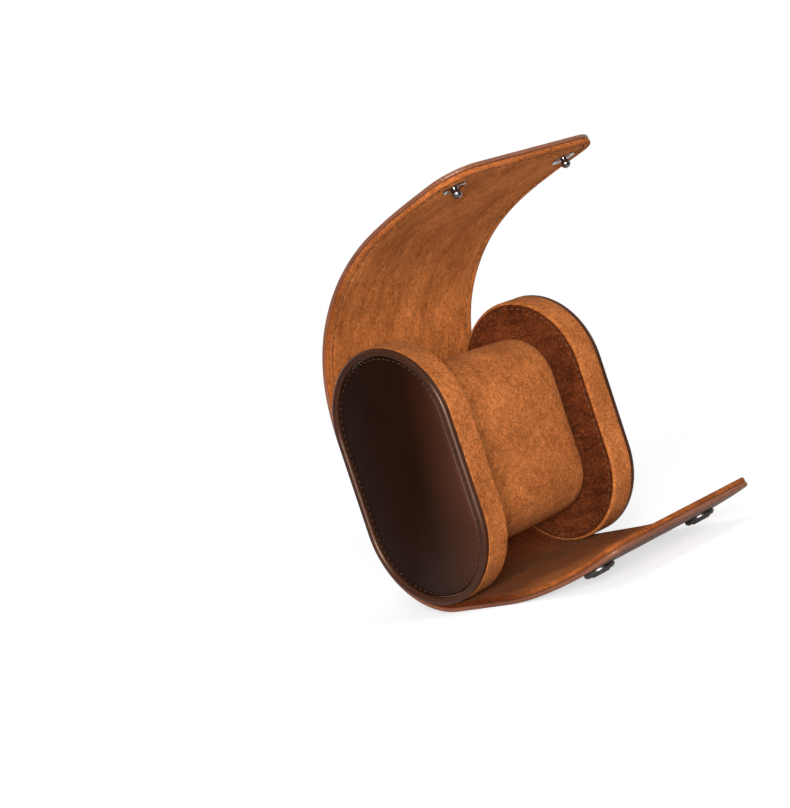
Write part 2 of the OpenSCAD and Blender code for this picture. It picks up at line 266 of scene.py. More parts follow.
# the pocket in the leather under each socket's cup
POCKET_R, POCKET_SKIN, POCKET_CLEAR = 2.4, 0.06, 0.3
POCKET_STEPS = [-3.4, -2.6, -2.2, -1.2, 0, 1.2, 2.2, 2.6, 3.4]


def drop(m, r):
    """How far a rounded edge of radius r has fallen at distance m from the side."""
    return 0.0 if m >= r else r - math.sqrt(max(r * r - (r - m) ** 2, 0))


def round_corner(p, q, r):
    """Moves a place, p from the side and q from the end, so that the corner is round.

    The loops that follow the edge stay evenly inset.
    """
    if p >= r or q >= r:
        return p, q
    loop = r - min(p, q)
    if loop < 1e-6:
        return r, r
    f = (r - q) / (2 * loop) if p <= q else 1 - (r - p) / (2 * loop)
    return r - loop * math.cos(f * math.pi / 2), r - loop * math.sin(f * math.pi / 2)


def ripple(x, s, length, seed):
    """Unevenness of about a length, from -1 to 1."""
    return noise.noise(Vector((x / length, s / length, seed)))


def leather_depths(m, x, s):
    """Depths of the leather's two faces at distance m from the strip's edge.

    It is cut away under the sockets' cups.
    """
    wave = LEATHER_WAVE * (ripple(x, s, 14, 3.1) + 0.5 * ripple(x, s, 5, 8.7))
    dent = LEATHER_DENT * hollow(m - STITCH_INSET, LEATHER_DENT_W)
    outside = STRIP_T - drop(m, LEATHER_ROUND) - dent - BOND_GAP + wave
    inside = LINING_T + BOND_GAP + drop(m, BOND_ROUND)
    if math.hypot(abs(x) - SNAP_X, s - SOCKET_S) < POCKET_R:
        outside = inside + POCKET_SKIN
    return inside, outside


def lining_depths(m, x, s):
    """Depths of the suede's two faces at distance m from the strip's edge."""
    wave = SUEDE_WAVE * (0.5 + ripple(x, s, 17, 1.3)) + SUEDE_RIPPLE * (0.5 + ripple(x, s, 6, 5.9))
    dent = SUEDE_DENT * hollow(m - STITCH_INSET, SUEDE_DENT_W)
    inside = max(wave, 0) * min(m / SUEDE_HELD, 1) + drop(m, SUEDE_ROUND) + dent
    return inside, LINING_T - drop(m, BOND_ROUND)


def refined(values, centre):
    """The values, with the pocket's own steps round the centre instead of those near it."""
    kept = [v for v in values if abs(v - centre) > POCKET_STEPS[-1] + POCKET_CLEAR]
    return sorted(kept + [centre + d for d in POCKET_STEPS])


def strip_grid(s0, s1, free):
    """The places x across, and the places along as (s, distance from the free end)."""
    side = [STRIP_W / 2 - m for m in EDGE_STEPS]
    xs = side + spread(side[-1], -side[-1], ACROSS_GAP)[1:-1] + [-x for x in reversed(side)]
    if not free:
        return xs, [(s, NO_END) for s in spread(s0, s1, ALONG_GAP)]
    end = s1 if free > 0 else s0
    from_end = EDGE_STEPS + spread(EDGE_STEPS[-1], s1 - s0, PANEL_GAP)[1:]
    if s0 < SOCKET_S < s1:
        xs = refined(refined(xs, SNAP_X), -SNAP_X)[::-1]
        from_end = refined(from_end, abs(SOCKET_S - end))
    return xs, [(end - free * q, q) for q in from_end]


def strip_piece(name, s0, s1, depths, corner, free):
    """A closed length of strip from s0 to s1. free is 1 where s1 is a free end, -1 where s0 is."""
    half, end = STRIP_W / 2, (s1 if free > 0 else s0)
    xs, rows = strip_grid(s0, s1, free)
    top, bottom, lay_top, lay_bottom, rim = [], [], [], [], []
    for s, q in rows:
        for x in xs:
            p = half - abs(x)
            m = min(p, q)
            round_p, round_q = round_corner(p, q, corner)
            x2 = math.copysign(half - round_p, x)
            s2 = end - free * round_q if free else s
            inside, outside = depths(m, x2, s2)
            top.append(strip_point(x2, s2, outside))
            bottom.append(strip_point(x2, s2, inside))
            lay_top.append(Vector((x2, s2, outside)) * MM)
            lay_bottom.append(Vector((x2, s2, inside)) * MM)
            rim.append(min(1.0, max(0.0, 1 - (m - RIM_FULL) / RIM_FADE)))
    count = len(top)
    faces = grid_faces(len(rows), len(xs)) + grid_faces(len(rows), len(xs), count)
    loop = grid_outline(len(rows), len(xs))
    for a, b in zip(loop, loop[1:] + loop[:1]):
        faces.append((a, b, b + count, a + count))
    return make_piece(name, top + bottom, faces, lay_top + lay_bottom, rim + rim, sharp=50)


# ---- stitches ----

STITCH_PITCH, STITCH_LENGTH = 3.6, 2.7
# depth, way out and radius of the threads on the leather and on the suede
LEATHER_THREAD = (STRIP_T - 0.36, 1, 0.27)
SUEDE_THREAD = (0.3, -1, 0.216)
THREAD_SIDES = 7
# along the thread in lengths, then its thickness and its rise in radii
THREAD_RINGS = [(-0.5, 0.25, -1.0), (-0.44, 0.75, -0.35), (-0.3, 1.0, 0.1), (0.0, 1.08, 0.25),
                (0.3, 1.0, 0.1), (0.44, 0.75, -0.35), (0.5, 0.25, -1.0)]
CORNER_STEPS = 12


def thread(verts, faces, place, along, up, length, radius):
    """Adds one stitch: a short thread that dips in at both ends."""
    side = along.cross(up).normalized()
    first = len(verts)
    for t, swell, rise in THREAD_RINGS:
        mid = place + along * (t * length) + up * (rise * radius)
        for k in range(THREAD_SIDES):
            a = 2 * math.pi * k / THREAD_SIDES
            verts.append(mid + (side * math.cos(a) + up * math.sin(a)) * (radius * swell))
    faces.extend(grid_faces(len(THREAD_RINGS), THREAD_SIDES, first, close_cols=True))
    last = len(verts) - THREAD_SIDES
    faces.append(tuple(range(first, first + THREAD_SIDES)))
    faces.append(tuple(range(last, last + THREAD_SIDES)))


def seam_line():
    """The closed line of the strip's stitches, as places (x, s)."""
    half, top, low = STRIP_W / 2 - STITCH_INSET, FLAP_END - STITCH_INSET, LIP_END + STITCH_INSET
    r_top, r_low = FLAP_CORNER - STITCH_INSET, LIP_CORNER - STITCH_INSET
    corners = [(half - r_top, top - r_top, r_top), (-half + r_top, top - r_top, r_top),
               (-half + r_low, low + r_low, r_low), (half - r_low, low + r_low, r_low)]
    points = []
    for quarter, (x, s, r) in enumerate(corners):
        for k in range(CORNER_STEPS + 1):
            a = math.radians(90 * (quarter + k / CORNER_STEPS))
            points.append((x + r * math.cos(a), s + r * math.sin(a)))
    return points + points[:1]


def strip_seam():
    """The stitches round the strip: places (x, s) with their headings, a pitch apart."""
    points = seam_line()
    lengths = [math.dist(a, b) for a, b in zip(points, points[1:])]
    count = round(sum(lengths) / STITCH_PITCH)
    out, passed, i = [], 0.0, 0
    for k in range(count):
        want = sum(lengths) * (k + 0.5) / count
        while passed + lengths[i] < want:
            passed += lengths[i]
            i += 1
        (x0, s0), (x1, s1) = points[i], points[i + 1]
        dx, ds = (x1 - x0) / lengths[i], (s1 - s0) / lengths[i]
        out.append((x0 + dx * (want - passed), s0 + ds * (want - passed), dx, ds))
    return out


SEAM = strip_seam()


def strip_stitches(name, s0, s1):
    """The stitches between s0 and s1, and the number of the first face of those on the suede."""
    verts, faces, suede_from = [], [], 0
    for depth, outward, radius in (LEATHER_THREAD, SUEDE_THREAD):
        suede_from = len(faces)
        for x, s, dx, ds in SEAM:
            if not s0 <= s < s1:
                continue
            place = strip_point(x, s, depth)
            along = (strip_point(x + dx, s + ds, depth) - strip_point(x - dx, s - ds, depth)).normalized()
            up = (strip_point(x, s, depth + outward) - place).normalized()
            thread(verts, faces, place, along, up, STITCH_LENGTH * MM, radius * MM)
    return make_piece(name, verts, faces, sharp=60), suede_from


# ---- ovals: profiles revolved at both ends, straight between, for the discs and the cushion ----

OVAL_ARC_STEPS, OVAL_STRAIGHT_STEPS = 44, 12


def oval_path():
    """(cos, sin, centre share) once round an oval. The share is 1 at the top and -1 at the bottom."""
    out = []
    for end in (1, -1):
        for k in range(OVAL_ARC_STEPS):
            a = math.pi * k / OVAL_ARC_STEPS
            out.append((end * math.cos(a), end * math.sin(a), end))
        for k in range(OVAL_STRAIGHT_STEPS):
            out.append((-end, 0.0, end * (1 - 2 * k / OVAL_STRAIGHT_STEPS)))
    return out


OVAL = oval_path()


def oval_piece(name, profile, side, base, straight, closed=True, adjust=None, sharp=38):
    """Carries a profile of (radius, height) round an oval.

    Heights run away from the plane x = side * base. adjust moves each point of the profile.
    """
    verts = []
    for c, sn, share in OVAL:
        for r, h in profile:
            if adjust:
                r, h = adjust(r, h, c, sn, share)
            verts.append(section_point(side * (base + h), r * c, r * sn + share * straight))
    faces = grid_faces(len(OVAL), len(profile), close_rows=True, close_cols=closed)
    return make_piece(name, verts, faces, sharp=sharp, weld=0.002)


def disc_piece(name, profile, side, **options):
    """A piece of the disc on one side, from its profile."""
    return oval_piece(name, profile, side, DISC_HALF_SPACE, DISC_STRAIGHT, **options)


def oval_place(d, r):
    """The place (y, z) after a length d round an oval of the discs' height, with ends of radius r."""
    half = math.pi * r + 2 * DISC_STRAIGHT
    end = 1 if d % (2 * half) < half else -1
    d %= half
    if d < math.pi * r:
        return end * r * math.cos(d / r), end * (r * math.sin(d / r) + DISC_STRAIGHT)
    return -end * r, end * (DISC_STRAIGHT - (d - math.pi * r))


def disc_stitches(name, side, r, h, sizes, outward=1):
    """A row of stitches at radius r and height h of a disc. sizes are their pitch, length and radius."""
    pitch, length, radius = sizes
    whole = 2 * math.pi * r + 4 * DISC_STRAIGHT
    count = round(whole / pitch)
    verts, faces = [], []
    for k in range(count):
        d = whole * k / count
        (y, z), (y0, z0), (y1, z1) = (oval_place(d + ahead, r) for ahead in (0, -0.3, 0.3))
        along = Vector((0, y1 - y0, z1 - z0)).normalized()
        up = Vector((side * outward, 0, 0))
        place = section_point(side * (DISC_HALF_SPACE + h), y, z)
        thread(verts, faces, place, along, up, length * MM, radius * MM)
    return make_piece(name, verts, faces, sharp=60)


# ---- lathe for the snaps ----

LATHE_STEPS = 56


def lathe(name, profile, places):
    """Revolves a profile of (radius, height) about each place's axis. A place is (point, axis, across)."""
    verts, faces = [], []
    for at, axis, across in places:
        other = axis.cross(across).normalized()
        first = len(verts)
        for k in range(LATHE_STEPS):
            a = 2 * math.pi * k / LATHE_STEPS
            out = across * math.cos(a) + other * math.sin(a)
            for r, h in profile:
                verts.append(at + (out * r + axis * h) * MM)
        faces += grid_faces(LATHE_STEPS, len(profile), first, close_rows=True)
    return make_piece(name, verts, faces, sharp=30, weld=0.0005)


# ---- nodes of the materials ----

def grey(value):
    """A colour without hue."""
    return (value, value, value)


def put(tree, value, socket):
    """Gives a socket its value: another socket, a number or a colour."""
    if hasattr(value, "links"):
        tree.links.new(value, socket)
    else:
        socket.default_value = value if isinstance(value, (int, float)) else (*value, 1)


def set_inputs(node, values):
    """Sets a node's inputs by name."""
    for name, value in values.items():
        node.inputs[name].default_value = value


def new_material(name):
    """A material with its tree and its main shader."""
    material = bpy.data.materials.new(name)
    material.use_nodes = True
    tree = material.node_tree
    tree.nodes.clear()
    out = tree.nodes.new("ShaderNodeOutputMaterial")
    shader = tree.nodes.new("ShaderNodeBsdfPrincipled")
    tree.links.new(shader.outputs[0], out.inputs[0])
    return material, tree, shader


def attribute(tree, name):
    """A node that reads one of the mesh's attributes."""
    node = tree.nodes.new("ShaderNodeAttribute")
    node.attribute_name = name
    return node


def lay_place(tree):
    """The textures' place on pieces that have one laid out, such as the strip's flat pattern."""
    return attribute(tree, "lay").outputs["Vector"]


def object_place(tree):
    """The textures' place in the object's own space."""
    return tree.nodes.new("ShaderNodeTexCoord").outputs["Object"]


def axes_of(tree, vector):
    """The outputs X, Y and Z of a vector."""
    node = tree.nodes.new("ShaderNodeSeparateXYZ")
    tree.links.new(vector, node.inputs[0])
    return node.outputs


def mapped(tree, source, scale, turn=(0, 0, 0)):
    """A place that is scaled and turned, in degrees."""
    node = tree.nodes.new("ShaderNodeMapping")
    set_inputs(node, {"Scale": scale, "Rotation": [math.radians(a) for a in turn]})
    tree.links.new(source, node.inputs["Vector"])
    return node.outputs[0]


def noise_node(tree, source, scale, detail=2.0, rough=0.5, distortion=0.0):
    """Noise from 0 to 1."""
    node = tree.nodes.new("ShaderNodeTexNoise")
    set_inputs(node, {"Scale": scale, "Detail": detail, "Roughness": rough, "Distortion": distortion})
    tree.links.new(source, node.inputs["Vector"])
    return node.outputs["Fac"]


def nap(tree, place, turn, stretch, *settings):
    """Noise for suede, drawn out along a line that is turned by some degrees from the strip's length."""
    return noise_node(tree, mapped(tree, place, (1, stretch, 1), (0, 0, turn)), *settings)


def ramp(tree, source, stops):
    """A colour ramp of (position, colour) stops."""
    node = tree.nodes.new("ShaderNodeValToRGB")
    while len(node.color_ramp.elements) < len(stops):
        node.color_ramp.elements.new(0.5)
    for element, (at, colour) in zip(node.color_ramp.elements, stops):
        element.position = at
        element.color = (*colour, 1)
    tree.links.new(source, node.inputs[0])
    return node.outputs[0]


def fade(start, stop):
    """The stops of a ramp from black to white."""
    return [(start, grey(0)), (stop, grey(1))]


def mix(tree, kind, factor, a, b):
    """Two colours mixed in a blend mode."""
    node = tree.nodes.new("ShaderNodeMix")
    node.data_type = "RGBA"
    node.blend_type = kind
    for value, socket in ((factor, "Factor"), (a, "A"), (b, "B")):
        put(tree, value, node.inputs[socket])
    return node.outputs["Result"]


def tinted(tree, factor, base, source, *stops):
    """The base, multiplied by a ramp over a texture."""
    return mix(tree, "MULTIPLY", factor, base, ramp(tree, source, stops))


def maths(tree, kind, a, b):
    """Two numbers put together by an operation."""
    node = tree.nodes.new("ShaderNodeMath")
    node.operation = kind
    put(tree, a, node.inputs[0])
    put(tree, b, node.inputs[1])
    return node.outputs[0]


def plus(tree, a, b, share):
    """a plus a share of b."""
    return maths(tree, "ADD", a, maths(tree, "MULTIPLY", b, share))


def bump(tree, shader, height, distance, strength):
    """Gives a shader relief, distance metres deep."""
    node = tree.nodes.new("ShaderNodeBump")
    set_inputs(node, {"Distance": distance, "Strength": strength})
    tree.links.new(height, node.inputs["Height"])
    tree.links.new(node.outputs[0], shader.inputs["Normal"])


# ---- suede ----

# how many times each layer of the suede repeats in a metre, about
SWEEPS, PATCHES, STROKES, CLUMPS, GRAIN = 52, 60, 420, 560, 1500
SWEPT_DOWN, SWEPT_UP = (0.80, 0.77, 0.72), (1.18, 1.2, 1.22)
SUEDE_CUT = (0.60, 0.52, 0.48)
SUEDE_SHEEN_TINT = (1.0, 0.5, 0.22, 1)
# painted shade: the stretch of the strip under the discs and low behind them, darkened where shade falls, as
# places s in metres
SHADE_FROM, SHADE_TO, SHADE_FADE = -0.024, 0.052, 0.014
SHADE_TONE = (0.32, 0.19, 0.15)
# painted light: the flap's end, lightened as if more light fell on it
TIP_LIGHT_FROM, TIP_LIGHT_TO, TIP_LIGHT_TONE = 0.15, 0.215, (1.42, 1.52, 1.7)


def painted_shade_and_light(tree, place, patches, base):
    """Paints shade on the suede under the discs and paints light on the flap's end, with ragged edges."""
    along = axes_of(tree, place)["Y"]
    ragged = plus(tree, along, patches, 0.022)
    after = ramp(tree, maths(tree, "SUBTRACT", ragged, SHADE_FROM), fade(0, SHADE_FADE))
    before = ramp(tree, maths(tree, "SUBTRACT", SHADE_TO, ragged), fade(0, SHADE_FADE))
    base = mix(tree, "MULTIPLY", maths(tree, "MULTIPLY", after, before), base, SHADE_TONE)
    return tinted(tree, 1.0, base, plus(tree, along, patches, 0.05), (TIP_LIGHT_FROM, grey(1)), (TIP_LIGHT_TO, TIP_LIGHT_TONE))


def suede(name, light, dark, streak, sheen=0.08, turn=28, fleck=0.0, shade_and_light=False):
    """Brushed suede: soft patches and sweeps, short strokes of nap, clumps and a fine grain.

    turn is the nap's direction in degrees, fleck is how bright single fibres are, and the last option adds
    the strip's painted shade under the discs and painted light at the flap's end.
    """
    material, tree, shader = new_material(name)
    place = lay_place(tree)
    patches = nap(tree, place, turn, 0.6, PATCHES, 3, 0.5, 0.4)
    strokes = nap(tree, place, turn, 0.3, STROKES, 3, 0.6, 0.8)
    grain = nap(tree, place, turn + 30, 0.6, GRAIN, 5, 0.72)
    clumps = nap(tree, place, turn - 15, 0.5, CLUMPS, 2, 0.5)
    sweeps = nap(tree, place, -turn, 0.4, SWEEPS, 2, 0.5, 1.2)
    tone = mix(tree, "MIX", 0.55, ramp(tree, patches, fade(0.3, 0.7)), ramp(tree, strokes, fade(0.3, 0.7)))
    middle = tuple((a + b) / 2 for a, b in zip(light, dark))
    streaks = ramp(tree, tone, [(0.15, dark), (0.5, middle), (0.85, light)])
    base = mix(tree, "MIX", streak, middle, streaks)
    base = tinted(tree, 1.0, base, grain, (0.34, grey(0.46)), (0.5, grey(1)), (0.66, grey(1.46)))
    base = tinted(tree, 0.45, base, clumps, (0.32, grey(0.72)), (0.5, grey(1)), (0.68, grey(1.25)))
    base = tinted(tree, 1.0, base, sweeps, (0.3, SWEPT_DOWN), (0.5, grey(1)), (0.7, SWEPT_UP))
    if fleck:
        fibres = nap(tree, place, turn, 0.7, GRAIN, 3, 0.6)
        base = mix(tree, "ADD", ramp(tree, fibres, [(0.56, grey(0)), (0.68, grey(fleck))]), base, light)
    # painted shade under the discs and painted light at the flap's end
    if shade_and_light:
        base = painted_shade_and_light(tree, place, patches, base)
    base = mix(tree, "MULTIPLY", attribute(tree, "rim").outputs["Fac"], base, SUEDE_CUT)
    tree.links.new(base, shader.inputs["Base Color"])
    set_inputs(shader, {"Roughness": 0.95, "Specular IOR Level": 0.05, "Sheen Weight": sheen,
                        "Sheen Roughness": 0.5, "Sheen Tint": SUEDE_SHEEN_TINT})
    bump(tree, shader, plus(tree, maths(tree, "MULTIPLY", grain, 0.6), strokes, 0.5), 0.0005, 0.9)
    return material


# ---- leather ----

DRIFT, CREASES, PORES = 32, 700, 2600
GRAIN_LINES, GRAIN_TURN, GRAIN_DEPTH = 230, 38, 0.5
BRUSHED, BRUSHED_STRETCH, BRUSHED_TONE = 1000, 0.035, 0.22
LEATHER_CUT = (0.8, 0.7, 0.65)
# the end faces' painted sheen: from where their colour lightens and their gloss rises, in metres forwards of
# their middle
PAINTED_SHEEN_FROM, GLOSS_FROM, PAINTED_SHEEN_TO = 0.008, 0.006, 0.024
PAINTED_SHEEN_TONE = (3.5, 3.1, 2.9)


def cross_grain(tree, place):
    """Two sets of wavy lines that cross."""
    lines = []
    for turn in (GRAIN_TURN, -GRAIN_TURN):
        node = tree.nodes.new("ShaderNodeTexWave")
        set_inputs(node, {"Scale": GRAIN_LINES, "Distortion": 2.2, "Detail": 2, "Detail Scale": 3})
        tree.links.new(mapped(tree, place, (1, 1, 1), (0, 0, turn)), node.inputs["Vector"])
        lines.append(node.outputs["Fac"])
    return maths(tree, "MAXIMUM", *lines)


def grained(tree, place, light, base, rough, height):
    """The strip's leather: an embossed cross grain, and streaks brushed across it."""
    cross = cross_grain(tree, place)
    brushed = noise_node(tree, mapped(tree, place, (1, BRUSHED_STRETCH, 1)), BRUSHED, 3, 0.6)
    base = tinted(tree, 0.5, base, cross, (0.35, grey(0.72)), (0.8, grey(1.1)))
    base = mix(tree, "ADD", ramp(tree, brushed, [(0.42, grey(0)), (0.75, grey(BRUSHED_TONE))]), base, light)
    rough = tinted(tree, 0.5, rough, brushed, (0.35, grey(1)), (0.65, grey(0.7)))
    return base, rough, plus(tree, height, cross, GRAIN_DEPTH)


def painted_sheen(tree, base, spec):
    """The end faces' painted sheen: colour and gloss go down in their middle and stay up towards the front
    and lower rim.
    """
    place = axes_of(tree, object_place(tree))
    front = maths(tree, "SUBTRACT", ORIGIN_Y * MM, place["Y"])
    low = maths(tree, "SUBTRACT", CENTRE_Z * MM, place["Z"])
    lit = plus(tree, front, low, 0.15)
    glossy = plus(tree, front, low, 0.5)
    base = tinted(tree, 1.0, base, lit, (PAINTED_SHEEN_FROM, grey(1)), (PAINTED_SHEEN_TO, PAINTED_SHEEN_TONE))
    return base, ramp(tree, glossy, [(GLOSS_FROM, grey(spec * 0.2)), (PAINTED_SHEEN_TO, grey(spec))])


def leather(name, light, dark, roughness, spec, tint, strip=False, face=False):
    """Leather with fine pores and a drift of colour. strip adds the strip's grain and streaks, and face adds
    the end faces' painted sheen.
    """
    material, tree, shader = new_material(name)
    place = lay_place(tree) if strip else object_place(tree)
    drift = noise_node(tree, place, DRIFT, 3, 0.55, 0.4)
    pores = noise_node(tree, place, PORES, 3, 0.6)
    creases = noise_node(tree, place, CREASES)
    base = ramp(tree, drift, [(0.3, dark), (0.72, light)])
    base = tinted(tree, 0.5, base, pores, (0.3, grey(0.6)), (0.6, grey(1.1)))
    rough = ramp(tree, creases, [(0.3, grey(roughness * 0.86)), (0.7, grey(roughness * 1.16))])
    height = plus(tree, maths(tree, "MULTIPLY", pores, 0.12), creases, 0.16)
    if strip:
        base, rough, height = grained(tree, place, light, base, rough, height)
    base = mix(tree, "MULTIPLY", attribute(tree, "rim").outputs["Fac"], base, LEATHER_CUT)
    set_inputs(shader, {"Specular IOR Level": spec, "Specular Tint": (*tint, 1)})
    if face:
        # painted sheen: the end faces' colour is lightened towards the front and the lower rim
        base, level = painted_sheen(tree, base, spec)
        tree.links.new(level, shader.inputs["Specular IOR Level"])
    tree.links.new(base, shader.inputs["Base Color"])
    tree.links.new(rough, shader.inputs["Roughness"])
    bump(tree, shader, height, 0.00022, 0.7)
    return material


# ---- metal, thread, board and foam ----

WEAR, METAL_GRAIN, TWIST = 900, 5000, 4200


def metal(name, colour, roughness):
    """Dark plated metal with slight wear."""
    material, tree, shader = new_material(name)
    place = object_place(tree)
    wear = noise_node(tree, place, WEAR, 3, 0.6)
    base = ramp(tree, wear, [(0.3, tuple(c * 0.75 for c in colour)), (0.7, colour)])
    rough = ramp(tree, wear, [(0.3, grey(roughness * 0.8)), (0.7, grey(roughness * 1.3))])
    tree.links.new(base, shader.inputs["Base Color"])
    tree.links.new(rough, shader.inputs["Roughness"])
    shader.inputs["Metallic"].default_value = 1.0
    bump(tree, shader, noise_node(tree, place, METAL_GRAIN), 0.00002, 0.4)
    return material


def thread_material(name, light, dark):
    """Twisted thread: fine slanting bands."""
    material, tree, shader = new_material(name)
    twist = noise_node(tree, mapped(tree, object_place(tree), (1, 0.4, 1), (35, 20, 40)), TWIST)
    tree.links.new(ramp(tree, twist, [(0.35, dark), (0.65, light)]), shader.inputs["Base Color"])
    set_inputs(shader, {"Roughness": 0.7, "Specular IOR Level": 0.3})
    bump(tree, shader, twist, 0.00008, 0.8)
    return material


def stuffing(name, light, dark, scale, roughness):
    """Board and foam, hidden inside: speckled."""
    material, tree, shader = new_material(name)
    speck = noise_node(tree, object_place(tree), scale, 4, 0.7)
    tree.links.new(ramp(tree, speck, [(0.35, dark), (0.65, light)]), shader.inputs["Base Color"])
    shader.inputs["Roughness"].default_value = roughness
    bump(tree, shader, speck, 0.0002, 0.6)
    return material


# the strip's suede, with painted shade under the discs and painted light at the flap's end
CARAMEL = suede("caramel_suede", (0.50, 0.156, 0.040), (0.26, 0.070, 0.015), 0.8, shade_and_light=True)
CARAMEL_BAND = suede("caramel_band", (0.42, 0.137, 0.037), (0.24, 0.066, 0.016), 0.7, turn=70)
# dark suede of the discs' inner faces; its colour also holds painted shade, the shade that falls on these
# faces
DARK_SUEDE_AND_SHADE = suede("dark_suede", (0.12, 0.028, 0.0075), (0.042, 0.009, 0.0025), 0.9, sheen=0.04, fleck=0.9)
# the end faces' dark brown leather, made darker still by painted shade than the same leather of the piping
SHADED_FACE_LEATHER = leather("face_leather", (0.0135, 0.0040, 0.0018), (0.0085, 0.0025, 0.0011), 0.42, 0.5,
               (1.0, 0.6, 0.45), face=True)
PIPING = leather("piping_leather", (0.052, 0.017, 0.0085), (0.028, 0.009, 0.0045), 0.34, 0.42,
                 (1.0, 0.7, 0.55))
STRIP = leather("strip_leather", (0.27, 0.108, 0.056), (0.14, 0.052, 0.026), 0.42, 0.45, (1.0, 0.88, 0.8),
                strip=True)
SNAP_METAL = metal("snap_metal", (0.34, 0.31, 0.30), 0.2)
SOCKET_METAL = metal("socket_metal", (0.16, 0.145, 0.14), 0.26)
THREAD_DARK = thread_material("thread_dark", (0.10, 0.045, 0.026), (0.035, 0.015, 0.009))
THREAD_TAN = thread_material("thread_tan", (0.18, 0.062, 0.020), (0.08, 0.026, 0.008))
THREAD_DISC = thread_material("thread_disc", (0.105, 0.048, 0.026), (0.032, 0.014, 0.008))
BOARD = stuffing("board", (0.56, 0.46, 0.34), (0.38, 0.30, 0.21), 700, 0.85)
FOAM = stuffing("foam", (0.84, 0.81, 0.72), (0.62, 0.59, 0.5), 1600, 0.95)


def finish_piece(piece, material, slot, body, *nodes):
    """Gives a piece its material and body, and hides the nodes that it stands for. slot is not used."""
    piece.data.materials.clear()
    piece.data.materials.append(material)
    if body:
        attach(piece, body)
    if nodes:
        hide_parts(*nodes)


# ---- the strip's pieces, one over each fold, cut at the middles of the links ----

FOLD_MARGIN = 0.5


def strip_set(label, s0, s1, node, body=None, ends=None, corner=0.0, free=0):
    """Leather, suede and stitches of one length.

    It rides on a body. At a fold, ends is (body before, body after, s before, s after), and the piece rides
    on no body; the two bodies in ends are not used.
    """
    outer = strip_piece(f"{label}_leather", s0, s1, leather_depths, corner, free)
    inner = strip_piece(f"{label}_suede", s0, s1, lining_depths, corner, free)
    seam, suede_from = strip_stitches(f"{label}_stitches", s0, s1)
    finish_piece(outer, STRIP, "strip_leather", body)
    finish_piece(inner, CARAMEL, "suede", body)
    finish_piece(seam, THREAD_DARK, "strip_leather", body)
    seam.data.materials.append(THREAD_TAN)
    for polygon in seam.data.polygons:
        polygon.material_index = 1 if polygon.index >= suede_from else 0
    if ends:
        first, second, sa, sb = ends
        for piece in (outer, inner, seam):
            strip_point(0, sa, LINING_T)
            strip_point(0, sb, LINING_T)
            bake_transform(piece)
    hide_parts(node.format("leather"))
    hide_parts(node.format("lining"))


def fold_sets(part, at, tip, links, corner):
    """The pieces over the folds of the flap or the lip, from the fold at the back to the tip."""
    sign = 1 if tip > at else -1
    half = sign * links[0][0] / 2
    before = "case"
    for i, (length, _) in enumerate(links, 1):
        last = i == len(links)
        tag = "panel" if last else i
        s0, s1 = sorted((at - half, tip if last else at + half))
        ends = (before, f"{part}_{tag}", at - half + sign * FOLD_MARGIN, at + half - sign * FOLD_MARGIN)
        strip_set(f"{part}_fold_{i}", s0, s1, f"{part}_{{}}_{tag}", ends=ends,
                  corner=corner if last else 0, free=sign if last else 0)
        before = f"{part}_{tag}"
        at += sign * length


strip_set("back", LIP_LINK / 2, FLAP_START - FLAP_LINK / 2, "back_{}", body="case")
fold_sets("flap", FLAP_START, FLAP_END, FLAP_LINKS, FLAP_CORNER)
fold_sets("lip", 0.0, LIP_END, LIP_LINKS, LIP_CORNER)

# ---- the discs ----

CORE_R = DISC_R - 1.0
GROOVE_R = DISC_R - 2 * PIPING_R - 0.1
CROWN, CROWN_POWER = FACE_TOP - (RIM_TOP - PIPING_R), 2.6
PAD_ROUND, PAD_FOOT = 0.5, 0.3
# the stitches of the padded face and of the inner face: pitch, length and radius, and their dents
FACE_STITCH_R, FACE_STITCHES, FACE_DENT, FACE_DENT_W = GROOVE_R - 0.9, (2.3, 1.3, 0.15), 0.26, 0.34
INNER_STITCH_R, INNER_STITCHES, INNER_DENT, INNER_DENT_W = CORE_R - 1.6, (2.7, 1.6, 0.16), 0.28, 0.42
INNER_T, BAND_ROWS, BAND_WAVE = 1.0, (7.6, 5.8, 4.0, 2.4), 0.05
# the padding's unevenness, which dies away towards its rim, and the small gathers inside its stitches
PAD_WAVE, PAD_WAVE_LENGTH, PAD_WAVE_FADE = 0.10, 9, 6
GATHERS, GATHER_LEAN, GATHER_DEPTH, GATHER_R, GATHER_W = 48, 60, 0.035, FACE_STITCH_R - 0.9, 1.1


def crown_height(r):
    """The padded face: fuller in its middle than a plain dome, and steeper at its rim."""
    return FACE_TOP - CROWN * (r / GROOVE_R) ** CROWN_POWER


def pucker(r, h, c, sn, share):
    """The leather's gathers and the padding's unevenness, except in its middle and at its foot."""
    if r < 0.5 or h < BAND_H + 0.6:
        return r, h
    gathers = hollow(r - GATHER_R, GATHER_W) * math.sin(GATHERS * math.atan2(sn, c) + GATHER_LEAN * share)
    uneven = ripple(r * c, r * sn + share * DISC_STRAIGHT, PAD_WAVE_LENGTH, 2.0)
    return r, h + GATHER_DEPTH * gathers + PAD_WAVE * uneven * min((GROOVE_R - r) / PAD_WAVE_FADE, 1)


def swell(r, h, c, sn, share):
    """A slow unevenness of the suede band's outer face."""
    if r <= DISC_R - 0.1:
        return r, h
    return r + BAND_WAVE * (noise.noise(Vector((c * 3, sn * 3 + share * 2, h / 5))) - 0.6), h


